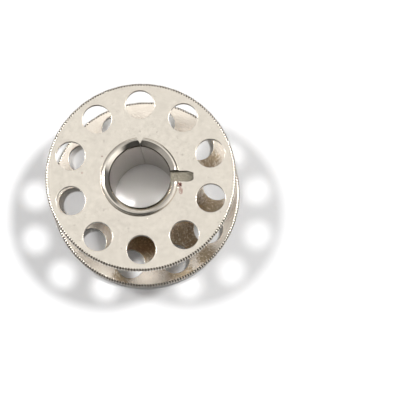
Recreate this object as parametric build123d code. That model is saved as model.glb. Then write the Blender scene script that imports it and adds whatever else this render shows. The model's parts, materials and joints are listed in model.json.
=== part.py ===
from build123d import *
from math import cos, pi, radians, sin
import os

# A sewing-machine bobbin: two pierced steel flanges crimped onto a rolled tube core.
# It lies flat, with its axis upright on Z. The origin is on the axis, at the crest of the
# lower crimp, on which the bobbin rests. +X points along the drive slot of the upper flange,
# and +Y points at the seam where the core strip was rolled to meet itself.
# All sizes are in millimetres and all angles in degrees.

# Flanges: stamped discs with a finely knurled rim and a ring of thread holes.
flange_diameter = 20.5
flange_thickness = 0.55
thread_gap = 9.4
hole_count = 10
hole_diameter = 3.1
hole_circle_diameter = 15.7
upper_first_hole_angle = 18.0
lower_first_hole_angle = 5.5
knurl_teeth = 210
knurl_depth = 0.07

# Core: a strip rolled to a tube, with a thinner neck at each end. The neck passes through
# the flange and is rolled outwards over it. That leaves a crimp ring, round on both sides,
# with a narrow flat on its crest where the forming tool pressed.
core_diameter = 7.84
bore_diameter = 6.5
neck_diameter = 7.3
crimp_diameter = 8.4
crimp_height = 0.45
crimp_round = 0.4
seam_width = 0.05
split_mouth_width = 0.66
split_root_diameter = 7.2

# Drive slot: milled across the upper crimp and part of the way through the upper flange.
slot_width = 1.25
slot_depth_in_flange = 0.42
slot_flat_reach = 4.75
slot_end_radius = 1.2

# Sizes that follow from the driving dimensions.
flange_radius = flange_diameter / 2
core_radius = core_diameter / 2
bore_radius = bore_diameter / 2
neck_radius = neck_diameter / 2
crimp_radius = crimp_diameter / 2
lower_outer_z = crimp_height
lower_inner_z = lower_outer_z + flange_thickness
upper_inner_z = lower_inner_z + thread_gap
upper_outer_z = upper_inner_z + flange_thickness
overall_height = upper_outer_z + crimp_height
slot_floor_z = upper_outer_z - slot_depth_in_flange
cutting_margin = 0.5


def knurled_outline():
    """The rim's outline: one crest and one root for each tooth."""
    points = []
    half_pitch = pi / knurl_teeth
    for step in range(2 * knurl_teeth):
        radius = flange_radius if step % 2 == 0 else flange_radius - knurl_depth
        angle = step * half_pitch
        points.append((radius * cos(angle), radius * sin(angle)))
    return Polyline(*points, close=True)


def flange(bottom_z, first_hole_angle):
    """One stamped disc: knurled rim, centre hole for the core's neck, ring of thread holes."""
    with BuildPart() as disc:
        with BuildSketch(Plane.XY.offset(bottom_z)):
            with BuildLine():
                add(knurled_outline())
            make_face()
            Circle(neck_radius, mode=Mode.SUBTRACT)
            with PolarLocations(hole_circle_diameter / 2, hole_count, first_hole_angle):
                Circle(hole_diameter / 2, mode=Mode.SUBTRACT)
        extrude(amount=flange_thickness)
    return disc.part


def tube_blank():
    """The core before its seam and slot are cut: the wall's section turned about the axis."""
    with BuildPart() as blank:
        with BuildSketch(Plane.XZ) as section:
            with BuildLine():
                Polyline(
                    (bore_radius, 0),
                    (crimp_radius, 0),
                    (crimp_radius, lower_outer_z),
                    (neck_radius, lower_outer_z),
                    (neck_radius, lower_inner_z),
                    (core_radius, lower_inner_z),
                    (core_radius, upper_inner_z),
                    (neck_radius, upper_inner_z),
                    (neck_radius, upper_outer_z),
                    (crimp_radius, upper_outer_z),
                    (crimp_radius, overall_height),
                    (bore_radius, overall_height),
                    close=True,
                )
            make_face()
            levels = section.vertices().group_by(Axis.Y)
            fillet(levels[0] + levels[-1], crimp_round)
        revolve(axis=Axis.Z)
    return blank.part


def seam_gap():
    """The thin gap along the whole core where the rolled strip's two edges meet."""
    reach = crimp_radius + cutting_margin
    height = overall_height + 2 * cutting_margin
    middle = Location((0, reach / 2, overall_height / 2))
    return middle * Box(seam_width, reach, height)


def crimp_split(bottom_z):
    """The notch that opens in a crimp ring at the seam, because rolling outwards stretches it."""
    root_y = split_root_diameter / 2
    widening = (split_mouth_width - seam_width) / 2 / (crimp_radius - root_y)
    mouth_y = crimp_radius + cutting_margin
    root_x = seam_width / 2
    mouth_x = root_x + widening * (mouth_y - root_y)
    with BuildPart() as wedge:
        with BuildSketch(Plane.XY.offset(bottom_z)):
            with BuildLine():
                Polyline(
                    (-root_x, root_y),
                    (root_x, root_y),
                    (mouth_x, mouth_y),
                    (-mouth_x, mouth_y),
                    close=True,
                )
            make_face()
        extrude(amount=crimp_height + cutting_margin)
    return wedge.part


def drive_slot():
    """The slot's cutter: a flat floor from the bore outwards, and a rounded run-out."""
    start_x = bore_radius / 2
    end_x = slot_flat_reach + slot_end_radius
    end_z = slot_floor_z + slot_end_radius
    top_z = overall_height + cutting_margin
    half_way = radians(45)
    arc_middle = (
        slot_flat_reach + slot_end_radius * sin(half_way),
        end_z - slot_end_radius * cos(half_way),
    )
    with BuildPart() as cutter:
        with BuildSketch(Plane.XZ):
            with BuildLine():
                Line((start_x, slot_floor_z), (slot_flat_reach, slot_floor_z))
                ThreePointArc((slot_flat_reach, slot_floor_z), arc_middle, (end_x, end_z))
                Polyline(
                    (end_x, end_z),
                    (end_x, top_z),
                    (start_x, top_z),
                    (start_x, slot_floor_z),
                )
            make_face()
        extrude(amount=slot_width / 2, both=True)
    return cutter.part


def core_tube():
    """The rolled core with both crimps, its seam, the splits and the drive slot."""
    tube = tube_blank() - seam_gap()
    tube = tube - crimp_split(upper_outer_z) - crimp_split(-cutting_margin)
    return tube - drive_slot()


def main():
    parts = {
        "upper_flange": flange(upper_inner_z, upper_first_hole_angle) - drive_slot(),
        "lower_flange": flange(lower_outer_z, lower_first_hole_angle),
        "core_tube": core_tube(),
    }
    os.makedirs("parts", exist_ok=True)
    for name, part in parts.items():
        export_step(part, f"parts/{name}.step")
        print(name, "volume", round(part.volume, 2), "mm3")


if __name__ == "__main__":
    main()
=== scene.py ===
import json
from math import atan2, cos, degrees, hypot, pi, radians, sin, sqrt, tan

import bmesh
import bpy
from bpy.props import FloatProperty, FloatVectorProperty, IntProperty, PointerProperty
from mathutils import Matrix, Vector


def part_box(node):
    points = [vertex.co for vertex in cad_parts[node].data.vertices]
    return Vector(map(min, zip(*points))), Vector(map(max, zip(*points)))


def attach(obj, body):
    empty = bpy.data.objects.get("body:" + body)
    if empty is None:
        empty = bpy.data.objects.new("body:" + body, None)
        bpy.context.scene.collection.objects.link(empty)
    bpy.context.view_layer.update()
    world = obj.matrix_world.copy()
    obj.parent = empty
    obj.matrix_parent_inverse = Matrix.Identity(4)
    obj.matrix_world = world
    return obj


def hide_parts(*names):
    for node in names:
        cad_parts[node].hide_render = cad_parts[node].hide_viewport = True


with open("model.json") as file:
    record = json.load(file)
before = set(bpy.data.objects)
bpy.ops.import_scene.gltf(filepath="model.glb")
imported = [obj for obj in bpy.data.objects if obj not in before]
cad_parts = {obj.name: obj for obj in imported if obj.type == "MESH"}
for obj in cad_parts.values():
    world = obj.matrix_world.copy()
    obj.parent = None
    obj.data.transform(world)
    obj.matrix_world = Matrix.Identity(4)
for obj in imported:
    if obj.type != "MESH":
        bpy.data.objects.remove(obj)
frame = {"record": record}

bl_info = {
    "name": "Sewing Machine Bobbin",
    "version": (1, 0, 0),
    "blender": (4, 5, 0),
    "location": "3D View > Sidebar > Bobbin",
    "description": "Models a crimped steel bobbin: two knurled, pierced flanges on a rolled core",
    "category": "Mesh",
}

# Pieces are modelled in millimetres, where Blender's merge and bevel tolerances suit features
# this small. Each finished mesh is then brought to metres, the frame's unit.
MM = 0.001
MERGE_DISTANCE = 0.0005
SHARP_ANGLE = radians(35)

# How finely the round shapes are divided.
ROUND_STEPS = 4
COLUMNS_PER_TOOTH = 8
HOLE_STEPS = 72
NECK_STEPS = 96
CORE_STEPS = 180
MOUTH_STEPS = 6
CREST_STEPS = 8
FOLD_STEPS = 10
TUCK_STEPS = 3

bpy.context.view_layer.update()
MOUNTS = {mount["name"]: mount for mount in frame["record"]["mounts"]}


def span_mm(node):
    """A frame node's radius about the bobbin's axis, and its lowest and highest point."""
    low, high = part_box(node)
    return high.x / MM, low.z / MM, high.z / MM


FLANGE_RADIUS, UPPER_INNER_Z, UPPER_OUTER_Z = span_mm("upper_flange")
_, LOWER_OUTER_Z, LOWER_INNER_Z = span_mm("lower_flange")
CRIMP_RADIUS, LOWER_CREST_Z, UPPER_CREST_Z = span_mm("core_tube")
BORE_RADIUS = MOUNTS["spindle_bore"]["dims"]["r_mm"]
SLOT_FLOOR_Z = MOUNTS["drive_notch"]["pos_m"][2] / MM

# Flat faces keep a narrow border beside their rounded edges, so that they are shaded flat.
HOLE_BORDER = 0.03
RIM_BORDER = 0.08

# The knurl's grooves are of a few kinds, each with its own share of the full depth. Those of
# some kinds also nick the edge of the flat face.
GROOVE_SHARES = (0.7, 0.8, 0.9, 1.0)
NICKED_KINDS = (0, 2, 3)
NICK = 0.04
# Painted shade fills a groove as far as this part of the pitch from its middle: a dark colour that
# stands in for the shade in the groove.
GROOVE_SHADE_REACH = 0.25

# Radius in which a crimp ring's edge turns in under it, where it meets the flange.
TUCK = 0.06
# What counts as the bore's wall: points and faces this near to it, and only faces this large.
BORE_MARGIN = 0.2
BORE_FACE_AREA = 0.5
# The rings spring open in small steps, each over a wider angle beside the seam.
SPRING_ANGLES = range(5, 45, 2)
SPRING_STEP = 0.006
# The upper ring sits a little off the axis.
RING_SHIFT = (-0.07, -0.07, 0.0)
# Where the split in a ring begins, as a distance from the axis.
SPLIT_ROOT = 3.6
LIP_ROUND = 0.05
# How far cutters reach past what they cut.
CLEARANCE = 0.5

# How the slot's cutter is divided across, along and upwards, and in its run-out's arc.
SLOT_CUTS_ACROSS = 15
SLOT_CUTS_ALONG = 35
SLOT_CUTS_UP = 5
SLOT_ARC_STEPS = 8
SLOT_ARC_CUTS = 2
# Where the cutter narrows: distance in from where it leaves the face, and by how much.
SLOT_TAPER = ((0.6, 0.98), (0.33, 0.96), (0.2, 0.92), (0.1, 0.85), (0.04, 0.8))
# How far the points of the slot's floor are torn from their places, and those of its walls,
# which have a band of the floor with them.
FLOOR_TEAR = 0.02
WALL_TEAR = 0.045
WALL_BAND = 0.15

# Angles round the bobbin start at the front, -Y, and grow towards the right. The levels below
# are those of the studio that the metal mirrors.
LIGHT_AZIMUTHS = {"left_light": radians(-115), "right_light": radians(115.8)}
LEFT_WALL_LEVEL = 0.55
RIGHT_WALL_LEVEL = 0.2
BACKDROP_LEVEL = 1.05
# Sines of the elevations between which the walls give way to the bright overhead.
WALL_TOP = (0.62, 0.9)
# The overhead's level on the camera's side, and the cosines between which it falls to it.
CAMERA_SIDE = radians(-18)
CAMERA_SIDE_EDGE = (0.05, 0.4)
CAMERA_SIDE_LEVEL = 0.1
# Dark patches of the walls: azimuth, elevation, the cosines at a patch's edge and where it is
# fully dark, and the part of the walls' level that it keeps there.
SHADES = (
    (radians(22), 0.0, 0.6, 0.92, 0.3),
    (radians(-20), radians(32), 0.85, 0.95, 0.45),
)
# Bright patches: azimuth, elevation, the cosine within which a patch is at its full level, and
# that level. A patch fades over a little more.
GLOW_FADE = 0.1
GLOWS = (
    (radians(-98), radians(62), 0.985, 0.4),
    (radians(132), radians(62), 0.985, 1.0),
    (radians(62), radians(6), 0.96, 1.2),
    (radians(56), radians(40), 0.95, 1.1),
    (radians(175), radians(14), 0.94, 0.8),
)


class BobbinFlangeSizes(bpy.types.PropertyGroup):
    """Sizes of the two stamped flanges."""

    hole_diameter: FloatProperty(
        name="Thread Hole",
        description="Diameter of each thread hole",
        default=3.1 * MM,
        unit="LENGTH",
    )
    hole_circle: FloatProperty(
        name="Hole Circle",
        description="Diameter of the circle that the thread holes stand on",
        default=15.7 * MM,
        unit="LENGTH",
    )
    hole_count: IntProperty(
        name="Thread Holes",
        description="How many thread holes each flange has",
        default=10,
        min=3,
    )
    upper_turn: FloatProperty(
        name="Upper Turn",
        description="Angle of the upper flange's first thread hole",
        default=radians(18),
        subtype="ANGLE",
    )
    lower_turn: FloatProperty(
        name="Lower Turn",
        description="Angle of the lower flange's first thread hole",
        default=radians(5.5),
        subtype="ANGLE",
    )
    hole_round: FloatProperty(
        name="Hole Round",
        description="Radius that punching leaves on the edge of a thread hole",
        default=0.04 * MM,
        unit="LENGTH",
    )
    rim_round: FloatProperty(
        name="Rim Round",
        description="Radius that the knurling wheel leaves on the edges of the rim",
        default=0.25 * MM,
        unit="LENGTH",
    )
    knurl_teeth: IntProperty(
        name="Knurl Teeth",
        description="How many grooves are rolled into each rim",
        default=210,
        min=12,
    )
    knurl_depth: FloatProperty(
        name="Knurl Depth",
        description="Depth of the rim's grooves",
        default=0.14 * MM,
        unit="LENGTH",
    )


class BobbinCoreSizes(bpy.types.PropertyGroup):
    """Sizes of the rolled core and its crimp rings."""

    core_diameter: FloatProperty(
        name="Core",
        description="Outer diameter of the core between the flanges",
        default=7.84 * MM,
        unit="LENGTH",
    )
    neck_diameter: FloatProperty(
        name="Neck",
        description="Diameter of the necks that pass through the flanges",
        default=7.3 * MM,
        unit="LENGTH",
    )
    crimp_mouth: FloatProperty(
        name="Crimp Mouth",
        description="Radius in which the bore turns outwards into a crimp ring",
        default=0.25 * MM,
        unit="LENGTH",
    )
    crimp_slope: FloatProperty(
        name="Crimp Slope",
        description="Slope of a crimp ring's cone, from the mouth up to the crest",
        default=radians(40),
        subtype="ANGLE",
    )
    crimp_crest: FloatProperty(
        name="Crimp Crest",
        description="Radius in which a crimp ring's cone turns over at the crest",
        default=0.22 * MM,
        unit="LENGTH",
    )
    crimp_round: FloatProperty(
        name="Crimp Round",
        description="Radius in which a crimp ring comes down to the flange",
        default=0.3 * MM,
        unit="LENGTH",
    )
    seam_width: FloatProperty(
        name="Seam",
        description="Gap where the rolled strip's two edges meet",
        default=0.05 * MM,
        unit="LENGTH",
    )
    split_width: FloatProperty(
        name="Split",
        description="Width of the notch that opens in a crimp ring at the seam",
        default=0.76 * MM,
        unit="LENGTH",
    )
    slot_width: FloatProperty(
        name="Drive Slot",
        description="Width of the milled drive slot",
        default=1.25 * MM,
        unit="LENGTH",
    )
    slot_reach: FloatProperty(
        name="Slot Reach",
        description="Distance from the axis to the far end of the slot's cutter",
        default=6.7 * MM,
        unit="LENGTH",
    )
    slot_round: FloatProperty(
        name="Slot Run-out",
        description="Radius in which the slot's floor rises to the flange's face",
        default=2.4 * MM,
        unit="LENGTH",
    )


class BobbinFinish(bpy.types.PropertyGroup):
    """Colours of the metal, and of the painted shade and light on it."""

    nickel: FloatVectorProperty(
        name="Nickel",
        description="Colour of the nickel plate",
        default=(0.66, 0.609, 0.53),
        size=3,
        min=0.0,
        max=1.0,
        subtype="COLOR",
    )
    # The bore's plate is darker than the outer plate: painted shade inside the bore.
    shaded_bore_nickel: FloatVectorProperty(
        name="Bore Nickel",
        description="Colour of the plate inside the bore",
        default=(0.49, 0.462, 0.428),
        size=3,
        min=0.0,
        max=1.0,
        subtype="COLOR",
    )
    # Partly the duller plate, partly painted light: its colour is lighter than the outer plate's
    # to brighten the parts that the lights reach.
    lit_thin_nickel: FloatVectorProperty(
        name="Thin Nickel",
        description="Colour of the duller plate on the lower flange's inner face",
        default=(0.7, 0.635, 0.55),
        size=3,
        min=0.0,
        max=1.0,
        subtype="COLOR",
    )
    # The upper flange's underside is painted nearly black: painted shade, where it faces the lower
    # flange in shade.
    shaded_underside_nickel: FloatVectorProperty(
        name="Stained Nickel",
        description="Colour of the stained plate on the upper flange's underside",
        default=(0.16, 0.115, 0.07),
        size=3,
        min=0.0,
        max=1.0,
        subtype="COLOR",
    )
    # Painted shadow: brown patches on the lower flange's inner face, where the upper flange shades
    # it.
    painted_shadow_brown: FloatVectorProperty(
        name="Brown Film",
        description="Colour of the patches of old oil on the lower flange's inner face",
        default=(0.38, 0.3, 0.2),
        size=3,
        min=0.0,
        max=1.0,
        subtype="COLOR",
    )
    # Painted shade: a dark colour that stands in for the shade in the knurl's grooves and at the
    # bore's mouths.
    painted_shade: FloatVectorProperty(
        name="Grime",
        description="Colour of the dark film in the knurl's grooves",
        default=(0.06, 0.045, 0.03),
        size=3,
        min=0.0,
        max=1.0,
        subtype="COLOR",
    )
    bare_steel: FloatVectorProperty(
        name="Bare Steel",
        description="Colour of the steel where the slot is milled through the plate",
        default=(0.21, 0.19, 0.15),
        size=3,
        min=0.0,
        max=1.0,
        subtype="COLOR",
    )
    # Painted shade: the slot's walls are coloured dark where shade falls in the slot.
    slot_wall_shade: FloatVectorProperty(
        name="Slot Wall",
        description="Colour of the dark, torn steel on the slot's two walls",
        default=(0.09, 0.07, 0.05),
        size=3,
        min=0.0,
        max=1.0,
        subtype="COLOR",
    )
    rust: FloatVectorProperty(
        name="Rust",
        description="Colour of the rust speck beside the slot",
        default=(0.1, 0.02, 0.014),
        size=3,
        min=0.0,
        max=1.0,
        subtype="COLOR",
    )
    pink_stain: FloatVectorProperty(
        name="Pink Stain",
        description="Colour of the stains on the upper flange's outer face",
        default=(0.42, 0.3, 0.25),
        size=3,
        min=0.0,
        max=1.0,
        subtype="COLOR",
    )


class BobbinStage(bpy.types.PropertyGroup):
    """Where the camera and the lights stand."""

    camera_azimuth: FloatProperty(
        name="Camera Azimuth",
        description="Turn of the camera round the bobbin, from the front",
        default=radians(12.6),
        subtype="ANGLE",
    )
    camera_elevation: FloatProperty(
        name="Camera Elevation",
        description="Height of the camera above the floor, as an angle",
        default=radians(79.3),
        subtype="ANGLE",
    )
    camera_roll: FloatProperty(
        name="Camera Roll",
        description="Turn of the camera about its own line of sight",
        default=radians(-1.09),
        subtype="ANGLE",
    )
    camera_distance: FloatProperty(
        name="Camera Distance",
        description="Distance from the camera to the point that it looks at",
        default=0.61,
        unit="LENGTH",
    )
    camera_aim: FloatVectorProperty(
        name="Camera Aim",
        description="The point that the camera looks at, beside the bobbin",
        default=(6.945 * MM, -2.542 * MM, 5.7 * MM),
        size=3,
        subtype="TRANSLATION",
    )
    camera_lens: FloatProperty(
        name="Camera Lens",
        description="Focal length of the camera, in millimetres",
        default=491.6,
    )
    light_elevation: FloatProperty(
        name="Light Elevation",
        description="Height of the two main lights above the floor, as an angle",
        default=radians(64.7),
        subtype="ANGLE",
    )
    light_spread: FloatProperty(
        name="Light Spread",
        description="Apparent width of a main light, which softens its shadows",
        default=radians(7.5),
        subtype="ANGLE",
    )
    left_strength: FloatProperty(
        name="Left Light",
        description="Strength of the left light",
        default=1.5,
        min=0.0,
    )
    right_strength: FloatProperty(
        name="Right Light",
        description="Strength of the right light",
        default=1.9,
        min=0.0,
    )
    overhead_level: FloatProperty(
        name="Overhead",
        description="Brightness that the metal mirrors from straight above",
        default=0.7,
        min=0.0,
    )
    glow_level: FloatProperty(
        name="Glow",
        description="Extra brightness that the metal mirrors from round each main light",
        default=0.7,
        min=0.0,
    )
    fill_level: FloatProperty(
        name="Fill",
        description="Even light that the studio throws on the floor",
        default=0.3,
        min=0.0,
    )
    floor_colour: FloatVectorProperty(
        name="Floor Colour",
        description="Colour of the floor",
        default=(0.86, 0.86, 0.865),
        size=3,
        min=0.0,
        max=1.0,
        subtype="COLOR",
    )


# ---------------------------------------------------------------- modelling helpers


def begin(name):
    """Makes an empty mesh object at the origin, and opens it for editing."""
    bpy.ops.object.select_all(action="DESELECT")
    bpy.ops.object.add(type="MESH")
    piece = bpy.context.object
    piece.name = name
    piece.data.name = name
    bpy.ops.object.mode_set(mode="EDIT")
    return piece


def select(kind, rule):
    """Selects the vertices, edges or faces of the mesh being edited that keep to the rule."""
    bpy.ops.mesh.select_mode(type=kind)
    bpy.ops.mesh.select_all(action="DESELECT")
    mesh = bmesh.from_edit_mesh(bpy.context.object.data)
    parts = {"VERT": mesh.verts, "EDGE": mesh.edges, "FACE": mesh.faces}[kind]
    for part in parts:
        if rule(part):
            part.select_set(True)
    mesh.select_flush_mode()
    bmesh.update_edit_mesh(bpy.context.object.data)


def off_axis(place):
    """Distance of a place from the bobbin's axis."""
    return hypot(place.x, place.y)


def coat(piece, material, rule):
    """Adds a material to the piece being edited, for the faces that keep to the rule."""
    piece.data.materials.append(material)
    select("FACE", rule)
    piece.active_material_index = len(piece.data.materials) - 1
    bpy.ops.object.material_slot_assign()


def scale_about_axis(factor, height=0.0, centre=(0.0, 0.0)):
    """Scales what is selected across an upright axis."""
    bpy.ops.transform.resize(
        value=(factor, factor, 1.0), center_override=(centre[0], centre[1], height)
    )


def turn(outline, steps, centre=(0.0, 0.0)):
    """Turns an outline of (radius, height) points about an upright axis."""
    radius, height = outline[0]
    bpy.ops.mesh.select_mode(type="EDGE")
    bpy.ops.mesh.select_all(action="DESELECT")
    bpy.ops.mesh.primitive_circle_add(
        vertices=steps, radius=radius, location=(centre[0], centre[1], height)
    )
    for next_radius, next_height in outline[1:]:
        rise = (0.0, 0.0, next_height - height)
        bpy.ops.mesh.extrude_edges_move(TRANSFORM_OT_translate={"value": rise})
        scale_about_axis(next_radius / radius, next_height, centre)
        radius, height = next_radius, next_height


def arc(centre, radius, first_angle, last_angle, steps=ROUND_STEPS):
    """Points of a round stretch of an outline, ends included. Angles are in degrees."""
    turned = last_angle - first_angle
    angles = [radians(first_angle + turned * step / steps) for step in range(steps + 1)]
    return [
        (centre[0] + radius * cos(angle), centre[1] + radius * sin(angle)) for angle in angles
    ]


def merge_and_face_outwards():
    """Joins the points that coincide, and turns every face outwards."""
    bpy.ops.mesh.select_all(action="SELECT")
    bpy.ops.mesh.remove_doubles(threshold=MERGE_DISTANCE)
    bpy.ops.mesh.normals_make_consistent(inside=False)


def pick(piece):
    """Makes a piece the active object, and the only one selected."""
    bpy.ops.object.select_all(action="DESELECT")
    piece.select_set(True)
    bpy.context.view_layer.objects.active = piece


def cut(piece, cutter):
    """Takes the cutter's shape out of the piece, and deletes the cutter."""
    pick(piece)
    trim = piece.modifiers.new("cut", "BOOLEAN")
    trim.operation = "DIFFERENCE"
    trim.solver = "EXACT"
    trim.material_mode = "TRANSFER"
    trim.object = cutter
    bpy.ops.object.modifier_apply(modifier=trim.name)
    bpy.ops.object.select_all(action="DESELECT")
    cutter.select_set(True)
    bpy.ops.object.delete()


def finish_piece(piece, node):
    """Brings the mesh to metres, smooths it, and hands it to the frame in the node's place."""
    pick(piece)
    bpy.ops.object.mode_set(mode="EDIT")
    bpy.ops.mesh.select_all(action="SELECT")
    bpy.ops.transform.resize(value=(MM, MM, MM), center_override=(0.0, 0.0, 0.0))
    bpy.ops.object.mode_set(mode="OBJECT")
    bpy.ops.object.shade_smooth_by_angle(angle=SHARP_ANGLE)
    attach(piece, "root")
    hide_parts(node)


# ---------------------------------------------------------------- flanges


def hole_outline(radius, low, high, edge_round):
    """Wall of a punched hole, rounded at both ends, with a narrow border on each face."""
    middle = radius + edge_round
    return [
        (middle + HOLE_BORDER, low),
        *arc((middle, low + edge_round), edge_round, 270, 180),
        *arc((middle, high - edge_round), edge_round, 180, 90),
        (middle + HOLE_BORDER, high),
    ]


def rim_outline(radius, low, high, edge_round):
    """Wall of the rim, rounded at both ends, with two narrow borders on each face."""
    middle = radius - edge_round
    outer_border = middle - RIM_BORDER
    inner_border = middle - 1.5 * RIM_BORDER
    return [
        (inner_border, low),
        (outer_border, low),
        *arc((middle, low + edge_round), edge_round, 270, 360),
        *arc((middle, high - edge_round), edge_round, 0, 90),
        (outer_border, high),
        (inner_border, high),
    ]


def close_face(height):
    """Fills the flat face between all the open loops at one height."""
    select(
        "EDGE",
        lambda edge: edge.is_boundary
        and all(abs(vertex.co.z - height) < MERGE_DISTANCE for vertex in edge.verts),
    )
    bpy.ops.mesh.fill(use_beauty=True)


def knurl(radius, low, high, sizes):
    """Rolls round grooves into the rim, at slightly different depths. They run out on the rim's
    rounded edges, where most of them nick the edge of the flat face too."""
    pitch = 2 * pi / sizes.knurl_teeth
    depth = sizes.knurl_depth / MM
    rim_round = sizes.rim_round / MM
    face_edge = radius - rim_round - MERGE_DISTANCE

    def groove(vertex, heights, distance, kind):
        """Tells whether a vertex is in a groove of one kind, so many columns from its middle."""
        if not any(abs(vertex.co.z - height) < MERGE_DISTANCE for height in heights):
            return False
        place = atan2(vertex.co.y, vertex.co.x) / pitch
        number = round(place)
        column = round(abs(place - number) * COLUMNS_PER_TOOTH)
        shuffled = (number * 7 + number // 5) % len(GROOVE_SHARES)
        on_rim = off_axis(vertex.co) > radius - 1.5 * rim_round
        return on_rim and column == distance and shuffled == kind

    for step in range(ROUND_STEPS):
        angle = radians(90) * step / ROUND_STEPS
        rise = rim_round * (1 - sin(angle))
        heights = (low + rise, high - rise)
        for kind, share in enumerate(GROOVE_SHARES):
            for distance in range(COLUMNS_PER_TOOTH // 2):
                select("VERT", lambda vertex: groove(vertex, heights, distance, kind))
                wave = 0.5 + 0.5 * cos(2 * pi * distance / COLUMNS_PER_TOOTH)
                pressed = depth * share * wave * sqrt(cos(angle))
                scale_about_axis(1 - pressed / radius)
    for height, nick in ((low, NICK), (high, -NICK)):
        select("VERT", lambda vertex: off_axis(vertex.co) > face_edge and any(
            groove(vertex, (height,), 0, kind) for kind in NICKED_KINDS
        ))
        bpy.ops.transform.translate(value=(0.0, 0.0, nick))


def coat_flange(piece, inner_z, teeth, inside, painted_shade, punched):
    """Gives the face beside the core its own material, and dark materials that paint shade on the
    knurl's grooves and the holes' punched walls."""
    face_edge = FLANGE_RADIUS - bpy.context.scene.bobbin_flange.rim_round / MM - RIM_BORDER

    def in_groove(face):
        middle = face.calc_center_median()
        place = atan2(middle.y, middle.x) * teeth / (2 * pi)
        return off_axis(middle) > face_edge and abs(place - round(place)) < GROOVE_SHADE_REACH

    def on_hole_wall(face):
        upright = abs(face.normal.z) < 0.3
        return upright and off_axis(face.calc_center_median()) < face_edge

    pick(piece)
    bpy.ops.object.mode_set(mode="EDIT")
    coat(piece, inside, lambda face: abs(face.calc_center_median().z - inner_z) < MERGE_DISTANCE)
    # The knurl's grooves get painted shade.
    coat(piece, painted_shade, in_groove)
    coat(piece, punched, on_hole_wall)
    bpy.ops.object.mode_set(mode="OBJECT")


def make_flange(name, low, high, first_angle, sizes):
    """One flange: a knurled rim, ten holes round it and the neck's hole at the centre."""
    hole_round = sizes.hole_round / MM
    rim_round = sizes.rim_round / MM
    hole_radius = sizes.hole_diameter / MM / 2
    circle_radius = sizes.hole_circle / MM / 2
    neck_radius = bpy.context.scene.bobbin_core.neck_diameter / MM / 2
    piece = begin(name)

    turn(rim_outline(FLANGE_RADIUS, low, high, rim_round), COLUMNS_PER_TOOTH * sizes.knurl_teeth)
    knurl(FLANGE_RADIUS, low, high, sizes)
    turn([(neck_radius, low), (neck_radius, high)], NECK_STEPS)
    hole_centre = (circle_radius * cos(first_angle), circle_radius * sin(first_angle))
    hole_reach = hole_radius + hole_round + HOLE_BORDER + MERGE_DISTANCE
    turn(hole_outline(hole_radius, low, high, hole_round), HOLE_STEPS, hole_centre)
    select("VERT", lambda vertex: hypot(
        vertex.co.x - hole_centre[0], vertex.co.y - hole_centre[1]
    ) < hole_reach)
    bpy.ops.mesh.spin(
        steps=sizes.hole_count - 1,
        dupli=True,
        angle=2 * pi * (sizes.hole_count - 1) / sizes.hole_count,
        center=(0.0, 0.0, 0.0),
        axis=(0.0, 0.0, 1.0),
    )
    close_face(low)
    close_face(high)
    merge_and_face_outwards()
    bpy.ops.object.mode_set(mode="OBJECT")
    return piece


# ---------------------------------------------------------------- core


def crimp_section(sizes):
    """A crimp ring from the bore to the crest: (radius, depth below the crest)."""
    mouth = sizes.crimp_mouth / MM
    slope = sizes.crimp_slope
    bend = sizes.crimp_crest / MM
    crest = CRIMP_RADIUS - sizes.crimp_round / MM
    tilt = degrees(slope)
    over = arc((crest, -bend), bend, 90 + tilt, 90, CREST_STEPS)
    cone = crest - bend * sin(slope) - BORE_RADIUS - mouth * (1 - sin(slope))
    root = cone * tan(slope) + mouth * cos(slope) - over[0][1]
    below = arc((BORE_RADIUS + mouth, -root), mouth, 180, 90 + tilt, MOUTH_STEPS)
    return [(radius, -height) for radius, height in below + over]


def core_outline(sizes):
    """Section of the core's wall: bore, both crimps, both necks and the core between them."""
    core = sizes.core_diameter / MM / 2
    neck = sizes.neck_diameter / MM / 2
    fold = sizes.crimp_round / MM
    top, bottom = UPPER_CREST_Z, LOWER_CREST_Z
    fold_radius = CRIMP_RADIUS - fold
    tuck_radius = CRIMP_RADIUS - TUCK
    section = crimp_section(sizes)
    return [
        *[(radius, top - depth) for radius, depth in section],
        *arc((fold_radius, top - fold), fold, 90, 0, FOLD_STEPS),
        *arc((tuck_radius, UPPER_OUTER_Z + TUCK), TUCK, 0, -90, TUCK_STEPS),
        (neck, UPPER_OUTER_Z),
        (neck, UPPER_INNER_Z),
        (core, UPPER_INNER_Z),
        (core, LOWER_INNER_Z),
        (neck, LOWER_INNER_Z),
        (neck, LOWER_OUTER_Z),
        *arc((tuck_radius, LOWER_OUTER_Z - TUCK), TUCK, 90, 0, TUCK_STEPS),
        *arc((fold_radius, bottom + fold), fold, 0, -90, FOLD_STEPS),
        *[(radius, bottom + depth) for radius, depth in reversed(section)],
        (BORE_RADIUS, top - section[0][1]),
    ]


def block(name, low, high):
    """A box between two corners, as the start of a cutter."""
    bpy.ops.object.select_all(action="DESELECT")
    centre = [(near + far) / 2 for near, far in zip(low, high)]
    bpy.ops.mesh.primitive_cube_add(size=1.0, location=(0.0, 0.0, 0.0))
    piece = bpy.context.object
    piece.name = name
    bpy.ops.object.mode_set(mode="EDIT")
    bpy.ops.transform.resize(
        value=[far - near for near, far in zip(low, high)], center_override=(0.0, 0.0, 0.0)
    )
    bpy.ops.transform.translate(value=centre)
    bpy.ops.object.mode_set(mode="OBJECT")
    return piece


def slice_edges(rule, cuts):
    """Divides the edges of the mesh being edited that keep to the rule."""
    select("EDGE", rule)
    bpy.ops.mesh.subdivide(number_cuts=cuts)


def runs_along(edge, axis):
    """Tells whether an edge lies along one axis."""
    run = edge.verts[0].co - edge.verts[1].co
    return abs(run[axis]) > 0.99 * run.length


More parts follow.
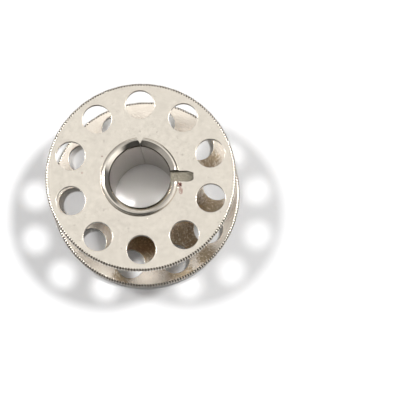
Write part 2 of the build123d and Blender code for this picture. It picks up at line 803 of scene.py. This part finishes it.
def slot_cutter(sizes, finish):
    """The shape that the milling cutter leaves: rough floor, torn walls and a round run-out."""
    half = sizes.slot_width / MM / 2
    reach = sizes.slot_reach / MM
    run_out = sizes.slot_round / MM
    inner_end = BORE_RADIUS - 0.6
    outer_end = reach - MERGE_DISTANCE
    floor_z = SLOT_FLOOR_Z + MERGE_DISTANCE
    cutter = block(
        "slot_cutter",
        (inner_end, -half, SLOT_FLOOR_Z),
        (reach, half, SLOT_FLOOR_Z + 1.3 * run_out),
    )
    cutter.data.materials.append(milled_steel(finish))
    bpy.ops.object.mode_set(mode="EDIT")
    select("EDGE", lambda edge: all(
        vertex.co.x > outer_end and vertex.co.z < floor_z for vertex in edge.verts
    ))
    bpy.ops.mesh.bevel(
        offset=run_out, segments=SLOT_ARC_STEPS, affect="EDGES", clamp_overlap=False
    )
    # The slot's walls get torn steel painted dark with shade.
    coat(cutter, shaded_torn_steel(finish), lambda face: abs(face.normal.y) > 0.9)
    # The long edges are told from the run-out's short ones by their length.
    slice_edges(lambda edge: runs_along(edge, 1), SLOT_CUTS_ACROSS)
    slice_edges(lambda edge: runs_along(edge, 0) and edge.calc_length() > 1.0, SLOT_CUTS_ALONG)
    slice_edges(lambda edge: 0.15 < edge.calc_length() < 0.3, SLOT_ARC_CUTS)
    slice_edges(lambda edge: runs_along(edge, 2) and edge.calc_length() > 0.5, SLOT_CUTS_UP)

    exit_x = reach - run_out + sqrt(run_out**2 - (run_out - UPPER_OUTER_Z + SLOT_FLOOR_Z)**2)
    for inset, factor in SLOT_TAPER:
        select("VERT", lambda vertex: vertex.co.x > exit_x - inset)
        bpy.ops.transform.resize(value=(1.0, factor, 1.0), center_override=(0.0, 0.0, 0.0))
    select("VERT", lambda vertex: abs(vertex.co.y) < half - WALL_BAND)
    bpy.ops.transform.vertex_random(offset=FLOOR_TEAR, uniform=0.0, normal=0.0, seed=3)
    select("VERT", lambda vertex: abs(vertex.co.y) > half - WALL_BAND)
    bpy.ops.transform.vertex_random(offset=WALL_TEAR, uniform=0.0, normal=0.0, seed=8)
    bpy.ops.object.mode_set(mode="OBJECT")
    return cutter


def split_cutter(name, low_z, high_z, sizes):
    """The wedge that a crimp ring opens in where the rolled strip's edges are stretched apart."""
    mouth_y = CRIMP_RADIUS + CLEARANCE
    cutter = block(name, (-1.0, SPLIT_ROOT, low_z), (1.0, mouth_y, high_z))
    gap = sizes.seam_width / MM
    opening = (sizes.split_width / MM - gap) / (CRIMP_RADIUS - SPLIT_ROOT)
    mouth = gap + opening * (mouth_y - SPLIT_ROOT)
    bpy.ops.object.mode_set(mode="EDIT")
    # The block is 2 wide, so each end is scaled by half of its width.
    for y, width in ((SPLIT_ROOT, gap), (mouth_y, mouth)):
        select("VERT", lambda vertex: abs(vertex.co.y - y) < MERGE_DISTANCE)
        bpy.ops.transform.resize(value=(width / 2, 1.0, 1.0), center_override=(0.0, y, 0.0))
    bpy.ops.object.mode_set(mode="OBJECT")
    return cutter


def below_crest(height):
    """How far a height is from the nearer crest, towards the bobbin's middle."""
    return min(UPPER_CREST_Z - height, height - LOWER_CREST_Z)


def on_ring(vertex, mouth_depth):
    """Tells whether a vertex is on a crimp ring: above the flange, or in the bore's mouth."""
    depth = below_crest(vertex.co.z)
    if off_axis(vertex.co) < BORE_RADIUS + BORE_MARGIN:
        return depth < mouth_depth + MERGE_DISTANCE
    return depth < UPPER_CREST_Z - UPPER_OUTER_Z - MERGE_DISTANCE


def shift_rings(mouth_depth):
    """Springs both crimp rings open at the seam, where they become slightly drop-shaped, and
    moves the upper one off the axis."""
    for spread in SPRING_ANGLES:
        select("VERT", lambda vertex: vertex.co.y > 0.0
               and abs(atan2(vertex.co.x, vertex.co.y)) < radians(spread)
               and on_ring(vertex, mouth_depth))
        bpy.ops.transform.translate(value=(0.0, SPRING_STEP, 0.0))
    select("VERT", lambda vertex: vertex.co.z > UPPER_INNER_Z and on_ring(vertex, mouth_depth))
    bpy.ops.transform.translate(value=RING_SHIFT)


def round_lips(edge_material):
    """Rounds the edges of the strip's cut faces, in both crimp rings."""
    margin = 0.01

    def is_lip(edge):
        coats = [face.material_index for face in edge.link_faces]
        between_flanges = all(
            LOWER_OUTER_Z - margin < vertex.co.z < UPPER_OUTER_Z + margin for vertex in edge.verts
        )
        between_coats = len(coats) == 2 and coats[0] != coats[1] and edge_material in coats
        return between_coats and not between_flanges

    bpy.ops.object.mode_set(mode="EDIT")
    select("EDGE", is_lip)
    bpy.ops.mesh.bevel(offset=LIP_ROUND, segments=3, affect="EDGES", clamp_overlap=True)
    bpy.ops.object.mode_set(mode="OBJECT")


def coat_core(piece, finish, section):
    """Gives the bore its own plate, darkened to paint the shade inside the bore, and the mouths of
    the bore a dark line of painted shade.
    """
    margin = 0.001
    mouth_top = section[MOUTH_STEPS][1] - margin
    mouth_foot = section[0][1] + margin
    mouth_radius = BORE_RADIUS + 0.25

    def in_bore(face):
        near_wall = off_axis(face.calc_center_median()) < BORE_RADIUS + BORE_MARGIN
        return near_wall and face.calc_area() > BORE_FACE_AREA

    def in_mouth(face):
        middle = face.calc_center_median()
        depth = below_crest(middle.z)
        return mouth_top < depth < mouth_foot and off_axis(middle) < mouth_radius

    # The bore's darker plate paints the shade inside it.
    coat(piece, nickel_plate("shaded_bore_nickel", finish.shaded_bore_nickel), in_bore)
    # The dark line at each mouth of the bore is painted shade.
    coat(piece, nickel_plate("mouth_shade", shaded(finish.painted_shade, 1.2)), in_mouth)


def make_core(sizes, finish):
    """The rolled core, with its seam, splits and slot."""
    section = crimp_section(sizes)
    piece = begin("core_tube_nickel")
    turn(core_outline(sizes), CORE_STEPS)
    merge_and_face_outwards()
    shift_rings(section[0][1])
    piece.data.materials.append(nickel_plate("bright_nickel", finish.nickel))
    coat_core(piece, finish, section)
    bpy.ops.object.mode_set(mode="OBJECT")

    # The strip's cut faces in the seam and the splits are a darkened copy of the plate: painted
    # shade.
    shaded_strip_edge = nickel_plate("shaded_strip_edge", shaded(finish.nickel, 0.2))
    half_gap = sizes.seam_width / MM / 2
    under, over = LOWER_CREST_Z - 1.0, UPPER_CREST_Z + 1.0
    seam = block(
        "seam_cutter",
        (-half_gap, BORE_RADIUS / 2, under),
        (half_gap, CRIMP_RADIUS + CLEARANCE, over),
    )
    upper_split = split_cutter("upper_split", UPPER_OUTER_Z, over, sizes)
    lower_split = split_cutter("lower_split", under, LOWER_OUTER_Z, sizes)
    for cutter in (seam, upper_split, lower_split):
        cutter.data.materials.append(shaded_strip_edge)
        cut(piece, cutter)
    round_lips(piece.data.materials.find(shaded_strip_edge.name))
    cut(piece, slot_cutter(sizes, finish))
    return piece


# ---------------------------------------------------------------- materials


# Layers of noise in the plate: features per metre, detail, the range of the noise that counts,
# and what that range becomes.
PLATE_PATCHES = (260.0, 3.0, 0.3, 0.7, 0.0, 1.0)
PLATE_DIRT = (1900.0, 2.0, 0.66, 0.76, 0.0, 0.45)
PLATE_SPECKS = (4500.0, 2.0, 0.35, 0.65, 0.0, 0.16)
PLATE_GLOSS = (2500.0, 4.0, 0.3, 0.7)
MARK_EDGE = (5000.0, 3.0, 0.35, 0.6, 0.5, 1.6)
MARK_FLECKS = (4200.0, 1.0, 0.54, 0.66, 0.0, 0.85)
# Each plate's roughness, and its grain: features per metre and strength.
PLATES = {
    "satin_nickel": (0.2, 3000.0, 0.03),
    "lit_thin_nickel": (0.22, 7000.0, 0.6),
    "shaded_underside_nickel": (0.3, 5000.0, 0.2),
    "bright_nickel": (0.1, 5000.0, 0.1),
    "shaded_bore_nickel": (0.2, 5000.0, 0.03),
    "groove_shade": (0.75, 9000.0, 0.3),
    "mouth_shade": (0.5, 9000.0, 0.2),
    "hole_wall_shade": (0.3, 9000.0, 0.3),
    "shaded_strip_edge": (0.3, 9000.0, 0.2),
}
# Heights of the fine relief, in metres.
PLATE_GRAIN = 0.00002
TORN_GRAIN = 0.00003
# Marks on the plate: centre across the axis and width each way, in millimetres.
RUST_SPECK = ((4.17, -0.92), (0.36, 0.36, 0.5))
PINK_STAINS = (
    ((4.28, -1.55), (0.3, 0.55, 0.5)),
    ((-6.27, 0.56), (0.14, 0.14, 0.3)),
    ((-4.09, 2.31), (0.12, 0.12, 0.3)),
)
# Patches of painted shadow on the lower flange's inner face, where the upper flange shades it;
# flecks of the plate show through them.
PAINTED_SHADOW_PATCHES = (
    ((4.3, -5.0), (2.6, 2.6, 1.0)),
    ((7.1, -1.3), (2.0, 2.0, 1.0)),
    ((7.0, 3.6), (1.6, 1.6, 1.0)),
    ((-0.4, -6.1), (2.0, 2.0, 1.0)),
    ((3.8, -9.0), (2.1, 2.1, 1.0)),
    ((6.6, -7.0), (1.6, 1.6, 1.0)),
    ((-2.7, -9.1), (1.4, 1.4, 1.0)),
)


def shader(name):
    """A new node material: (material, its nodes, its links, its Principled shader)."""
    material = bpy.data.materials.new(name)
    material.use_nodes = True
    nodes = material.node_tree.nodes
    return material, nodes, material.node_tree.links, nodes["Principled BSDF"]


def noise(nodes, links, scale, detail, stretch=(1.0, 1.0, 1.0)):
    """A noise texture on the piece's own coordinates. The scale is in features per metre."""
    place = nodes.new("ShaderNodeTexCoord")
    mapping = nodes.new("ShaderNodeMapping")
    mapping.inputs["Scale"].default_value = stretch
    texture = nodes.new("ShaderNodeTexNoise")
    texture.inputs["Scale"].default_value = scale
    texture.inputs["Detail"].default_value = detail
    links.new(place.outputs["Object"], mapping.inputs["Vector"])
    links.new(mapping.outputs["Vector"], texture.inputs["Vector"])
    return texture.outputs["Fac"]


def remap(nodes, links, value, low, high, new_low, new_high, interpolation="LINEAR"):
    """Maps a range of a value to another range."""
    node = nodes.new("ShaderNodeMapRange")
    node.interpolation_type = interpolation
    for socket, number in zip(node.inputs[1:5], (low, high, new_low, new_high)):
        socket.default_value = number
    links.new(value, node.inputs["Value"])
    return node.outputs["Result"]


def layer(nodes, links, scale, detail, low, high, new_low, new_high):
    """A noise texture with a range of its value mapped to another range."""
    return remap(nodes, links, noise(nodes, links, scale, detail), low, high, new_low, new_high)


def combine(nodes, links, operation, first, second):
    """The result of a sum or a product of two values."""
    node = nodes.new("ShaderNodeMath")
    node.operation = operation
    links.new(first, node.inputs[0])
    links.new(second, node.inputs[1])
    return node.outputs["Value"]


def tint(nodes, links, value, first, second):
    """A colour that runs from the first to the second with a value."""
    ramp = nodes.new("ShaderNodeValToRGB")
    ramp.color_ramp.elements[0].color = (*first, 1.0)
    ramp.color_ramp.elements[1].color = (*second, 1.0)
    links.new(value, ramp.inputs["Fac"])
    return ramp.outputs["Color"]


def bump(nodes, links, height, strength, distance):
    """A fine relief."""
    node = nodes.new("ShaderNodeBump")
    node.inputs["Strength"].default_value = strength
    node.inputs["Distance"].default_value = distance
    links.new(height, node.inputs["Height"])
    return node.outputs["Normal"]


def shaded(colour, factor):
    """A colour made darker or lighter."""
    return tuple(min(1.0, channel * factor) for channel in colour)


def spot(nodes, links, centre_mm, size_mm):
    """A soft round spot at a place on the piece: 1 at its middle and 0 from its edge outwards."""
    place = nodes.new("ShaderNodeTexCoord")
    mapping = nodes.new("ShaderNodeMapping")
    mapping.vector_type = "TEXTURE"
    mapping.inputs["Location"].default_value = [value * MM for value in centre_mm]
    mapping.inputs["Scale"].default_value = [value * MM for value in size_mm]
    texture = nodes.new("ShaderNodeTexGradient")
    texture.gradient_type = "SPHERICAL"
    links.new(place.outputs["Object"], mapping.inputs["Vector"])
    links.new(mapping.outputs["Vector"], texture.inputs["Vector"])
    return texture.outputs["Fac"]


def blend(nodes, links, amount, first, second):
    """Mixes two colours, of which either is a plain colour or another node's output."""
    node = nodes.new("ShaderNodeMix")
    node.data_type = "RGBA"
    links.new(amount, node.inputs["Factor"])
    for socket, colour in ((node.inputs[6], first), (node.inputs[7], second)):
        if isinstance(colour, bpy.types.NodeSocket):
            links.new(colour, socket)
        else:
            socket.default_value = (*colour, 1.0)
    return node.outputs[2]


def nickel_plate(name, colour, marks=()):
    """Nickel plate: a warm white metal whose gloss and colour vary a little, and its marks."""
    material, nodes, links, metal = shader(name)
    roughness, grain_scale, grain_strength = PLATES[name]
    metal.inputs["Metallic"].default_value = 1.0
    patches = layer(nodes, links, *PLATE_PATCHES)
    tone = tint(nodes, links, patches, shaded(colour, 0.975), shaded(colour, 1.02))
    tone = blend(nodes, links, layer(nodes, links, *PLATE_DIRT), tone, shaded(colour, 0.6))
    tone = blend(nodes, links, layer(nodes, links, *PLATE_SPECKS), tone, shaded(colour, 0.8))
    for mark_colour, centre, size in marks:
        ragged_edge = layer(nodes, links, *MARK_EDGE)
        ragged = combine(nodes, links, "MULTIPLY", spot(nodes, links, centre, size), ragged_edge)
        amount = remap(nodes, links, ragged, 0.2, 0.55, 0.0, 1.0)
        mark_tone = blend(nodes, links, layer(nodes, links, *MARK_FLECKS), mark_colour, colour)
        tone = blend(nodes, links, amount, tone, mark_tone)
    links.new(tone, metal.inputs["Base Color"])
    gloss = layer(nodes, links, *PLATE_GLOSS, roughness * 0.92, roughness * 1.1)
    links.new(gloss, metal.inputs["Roughness"])
    relief = bump(nodes, links, noise(nodes, links, grain_scale, 3.0), grain_strength, PLATE_GRAIN)
    links.new(relief, metal.inputs["Normal"])
    return material


def milled_steel(finish):
    """Bare steel with the small torn pits that milling leaves."""
    material, nodes, links, metal = shader("milled_steel")
    metal.inputs["Metallic"].default_value = 1.0
    pits = noise(nodes, links, 9000.0, 4.0)
    tone = tint(
        nodes, links, remap(nodes, links, pits, 0.35, 0.65, 0.0, 1.0),
        shaded(finish.bare_steel, 0.55), shaded(finish.bare_steel, 1.5),
    )
    links.new(tone, metal.inputs["Base Color"])
    metal.inputs["Roughness"].default_value = 0.65
    links.new(bump(nodes, links, pits, 0.6, TORN_GRAIN), metal.inputs["Normal"])
    return material


def shaded_torn_steel(finish):
    """Torn steel, painted dark for the shade on the walls of the slot."""
    material, nodes, links, metal = shader("shaded_torn_steel")
    metal.inputs["Metallic"].default_value = 0.6
    tears = noise(nodes, links, 7000.0, 4.0, (0.5, 1.0, 2.0))
    tone = tint(
        nodes, links, remap(nodes, links, tears, 0.4, 0.65, 0.0, 1.0),
        shaded(finish.slot_wall_shade, 0.4), shaded(finish.slot_wall_shade, 1.6),
    )
    links.new(tone, metal.inputs["Base Color"])
    metal.inputs["Roughness"].default_value = 0.6
    links.new(bump(nodes, links, tears, 0.7, TORN_GRAIN), metal.inputs["Normal"])
    return material


# ---------------------------------------------------------------- operators


class BOBBIN_OT_flanges(bpy.types.Operator):
    """Models the two stamped flanges and cuts the drive slot into the upper one"""

    bl_idname = "bobbin.flanges"
    bl_label = "Make Flanges"

    def execute(self, context):
        sizes = context.scene.bobbin_flange
        finish = context.scene.bobbin_finish
        marks = [(finish.rust, *RUST_SPECK)]
        marks += [(finish.pink_stain, *stain) for stain in PINK_STAINS]
        # The lower flange's inner face gets patches of painted shadow.
        shadow_marks = [(finish.painted_shadow_brown, *patch) for patch in PAINTED_SHADOW_PATCHES]
        face = nickel_plate("satin_nickel", finish.nickel, [
            (colour, (*centre, UPPER_OUTER_Z), size) for colour, centre, size in marks
        ])
        # The lower flange's inner face is lightened with painted light, and darkened with painted
        # shadow where it lies in shade.
        lit_plate = nickel_plate("lit_thin_nickel", finish.lit_thin_nickel, [
            (colour, (*centre, LOWER_INNER_Z), size) for colour, centre, size in shadow_marks
        ])
        # The upper flange's underside gets painted shade.
        darkened = nickel_plate("shaded_underside_nickel", finish.shaded_underside_nickel)
        # The grooves' material paints the shade in them.
        painted_shade = nickel_plate("groove_shade", finish.painted_shade)
        # The holes' walls are a darkened copy of the plate: painted shade along the edge of each
        # hole.
        punched = nickel_plate("hole_wall_shade", shaded(finish.nickel, 0.4))
        upper = make_flange(
            "upper_flange_nickel", UPPER_INNER_Z, UPPER_OUTER_Z, sizes.upper_turn, sizes
        )
        lower = make_flange(
            "lower_flange_nickel", LOWER_OUTER_Z, LOWER_INNER_Z, sizes.lower_turn, sizes
        )
        for piece, inner_z, inside in (
            (upper, UPPER_INNER_Z, darkened), (lower, LOWER_INNER_Z, lit_plate)
        ):
            piece.data.materials.append(face)
            coat_flange(piece, inner_z, sizes.knurl_teeth, inside, painted_shade, punched)
        cut(upper, slot_cutter(context.scene.bobbin_core, finish))
        finish_piece(upper, "upper_flange")
        finish_piece(lower, "lower_flange")
        return {"FINISHED"}


class BOBBIN_OT_core(bpy.types.Operator):
    """Models the rolled core with its crimp rings, seam and drive slot"""

    bl_idname = "bobbin.core"
    bl_label = "Make Core"

    def execute(self, context):
        piece = make_core(context.scene.bobbin_core, context.scene.bobbin_finish)
        finish_piece(piece, "core_tube")
        return {"FINISHED"}


class BOBBIN_OT_stage(bpy.types.Operator):
    """Lays the floor and sets the camera, the lights and the studio around them"""

    bl_idname = "bobbin.stage"
    bl_label = "Set Stage"

    def execute(self, context):
        stage = context.scene.bobbin_stage
        lay_floor(stage)
        set_camera(stage)
        set_lights(stage)
        set_studio(stage)
        context.scene.view_settings.view_transform = "Standard"
        # The light that the bore's wall throws on the floor stays sharp and at full strength.
        context.scene.cycles.blur_glossy = 0.0
        context.scene.cycles.sample_clamp_indirect = 0.0
        return {"FINISHED"}


def lay_floor(stage):
    """A wide pale floor, level with the lowest point of the bobbin."""
    bpy.ops.object.select_all(action="DESELECT")
    bpy.ops.mesh.primitive_plane_add(size=1.6, location=(0.0, 0.0, 0.0))
    floor = bpy.context.object
    floor.name = "floor"
    material, _, _, paper = shader("floor_paper")
    paper.inputs["Base Color"].default_value = (*stage.floor_colour, 1.0)
    paper.inputs["Roughness"].default_value = 0.9
    paper.inputs["Specular IOR Level"].default_value = 0.0
    floor.data.materials.append(material)


def direction(azimuth, elevation):
    """Unit vector towards a point round and above the bobbin. Azimuth 0 is the front, -Y."""
    level = cos(elevation)
    return Vector((sin(azimuth) * level, -cos(azimuth) * level, sin(elevation)))


def set_camera(stage):
    """A long lens, nearly over the bobbin, that looks a little past it."""
    back = direction(stage.camera_azimuth, stage.camera_elevation)
    right = (Vector((1.0, 0.0, 0.0)) - back * back.x).normalized()
    right.rotate(Matrix.Rotation(stage.camera_roll, 3, back))
    up = back.cross(right)
    bpy.ops.object.camera_add(location=Vector(stage.camera_aim) + back * stage.camera_distance)
    camera = bpy.context.object
    camera.rotation_euler = Matrix((right, up, back)).transposed().to_euler()
    camera.data.lens = stage.camera_lens
    camera.data.clip_start = 0.01
    camera.data.clip_end = 10.0
    bpy.context.scene.camera = camera


def set_lights(stage):
    """Two main lights, high at the back left and the back right."""
    strengths = (stage.left_strength, stage.right_strength)
    for (name, azimuth), strength in zip(LIGHT_AZIMUTHS.items(), strengths):
        towards = direction(azimuth, stage.light_elevation)
        bpy.ops.object.light_add(type="SUN", location=towards)
        light = bpy.context.object
        light.name = name
        light.rotation_euler = towards.to_track_quat("Z", "Y").to_euler()
        light.data.energy = strength
        light.data.angle = stage.light_spread


def set_studio(stage):
    """The studio that the metal mirrors: bright above, with a few bright patches, grey walls and
    a dark front, where the camera stands. Other surfaces get a plain even fill."""
    world = bpy.data.worlds.new("studio")
    bpy.context.scene.world = world
    world.use_nodes = True
    nodes, links = world.node_tree.nodes, world.node_tree.links
    nodes.clear()
    place = nodes.new("ShaderNodeTexCoord")

    def background(strength):
        node = nodes.new("ShaderNodeBackground")
        node.inputs["Color"].default_value = (1.0, 1.0, 1.0, 1.0)
        node.inputs["Strength"].default_value = strength
        return node

    def towards(goal):
        node = nodes.new("ShaderNodeVectorMath")
        node.operation = "DOT_PRODUCT"
        links.new(place.outputs["Generated"], node.inputs[0])
        node.inputs[1].default_value = goal
        return node.outputs["Value"]

    def smooth(value, low, high, new_low, new_high):
        return remap(nodes, links, value, low, high, new_low, new_high, "SMOOTHSTEP")

    def times(first, second):
        return combine(nodes, links, "MULTIPLY", first, second)

    def plus(first, second):
        return combine(nodes, links, "ADD", first, second)

    def mix(amount, first, second):
        node = nodes.new("ShaderNodeMixShader")
        links.new(amount, node.inputs["Fac"])
        links.new(first.outputs[0], node.inputs[1])
        links.new(second.outputs[0], node.inputs[2])
        return node

    height = towards((0.0, 0.0, 1.0))
    walls = smooth(towards((1.0, 0.0, 0.0)), -0.6, 0.6, LEFT_WALL_LEVEL, RIGHT_WALL_LEVEL)
    for azimuth, elevation, edge, inner, kept in SHADES:
        near = towards(direction(azimuth, elevation))
        walls = times(walls, smooth(near, edge, inner, 1.0, kept))
    walls = times(walls, smooth(height, *WALL_TOP, 1.0, 0.0))
    front = towards(direction(CAMERA_SIDE, 0.0))
    overhead = times(
        smooth(height, *WALL_TOP, 0.0, 1.0),
        smooth(front, *CAMERA_SIDE_EDGE, stage.overhead_level, CAMERA_SIDE_LEVEL),
    )
    mirrored = plus(overhead, walls)
    for azimuth, elevation, inner, level in GLOWS:
        near = towards(direction(azimuth, elevation))
        glow = smooth(near, inner - GLOW_FADE, inner, 0.0, level * stage.glow_level)
        mirrored = plus(mirrored, glow)

    studio = background(1.0)
    links.new(mirrored, studio.inputs["Strength"])
    path = nodes.new("ShaderNodeLightPath")
    lit = mix(path.outputs["Is Glossy Ray"], background(stage.fill_level), studio)
    seen = mix(path.outputs["Is Camera Ray"], lit, background(BACKDROP_LEVEL))
    output = nodes.new("ShaderNodeOutputWorld")
    links.new(seen.outputs[0], output.inputs["Surface"])


class BOBBIN_PT_sidebar(bpy.types.Panel):
    """Sizes, finishes and steps of the bobbin"""

    bl_idname = "BOBBIN_PT_sidebar"
    bl_label = "Bobbin"
    bl_space_type = "VIEW_3D"
    bl_region_type = "UI"
    bl_category = "Bobbin"

    def draw(self, context):
        for group in ("bobbin_flange", "bobbin_core", "bobbin_finish", "bobbin_stage"):
            settings = getattr(context.scene, group)
            box = self.layout.box()
            for name in settings.__annotations__:
                box.prop(settings, name)
        for operator in (BOBBIN_OT_flanges, BOBBIN_OT_core, BOBBIN_OT_stage):
            self.layout.operator(operator.bl_idname)


CLASSES = (
    BobbinFlangeSizes,
    BobbinCoreSizes,
    BobbinFinish,
    BobbinStage,
    BOBBIN_OT_flanges,
    BOBBIN_OT_core,
    BOBBIN_OT_stage,
    BOBBIN_PT_sidebar,
)


def register():
    for item in CLASSES:
        bpy.utils.register_class(item)
    bpy.types.Scene.bobbin_flange = PointerProperty(type=BobbinFlangeSizes)
    bpy.types.Scene.bobbin_core = PointerProperty(type=BobbinCoreSizes)
    bpy.types.Scene.bobbin_finish = PointerProperty(type=BobbinFinish)
    bpy.types.Scene.bobbin_stage = PointerProperty(type=BobbinStage)


def unregister():
    for name in ("bobbin_stage", "bobbin_finish", "bobbin_core", "bobbin_flange"):
        delattr(bpy.types.Scene, name)
    for item in reversed(CLASSES):
        bpy.utils.unregister_class(item)


def main():
    register()
    bpy.ops.bobbin.flanges()
    bpy.ops.bobbin.core()
    bpy.ops.bobbin.stage()


if __name__ == "__main__":
    main()
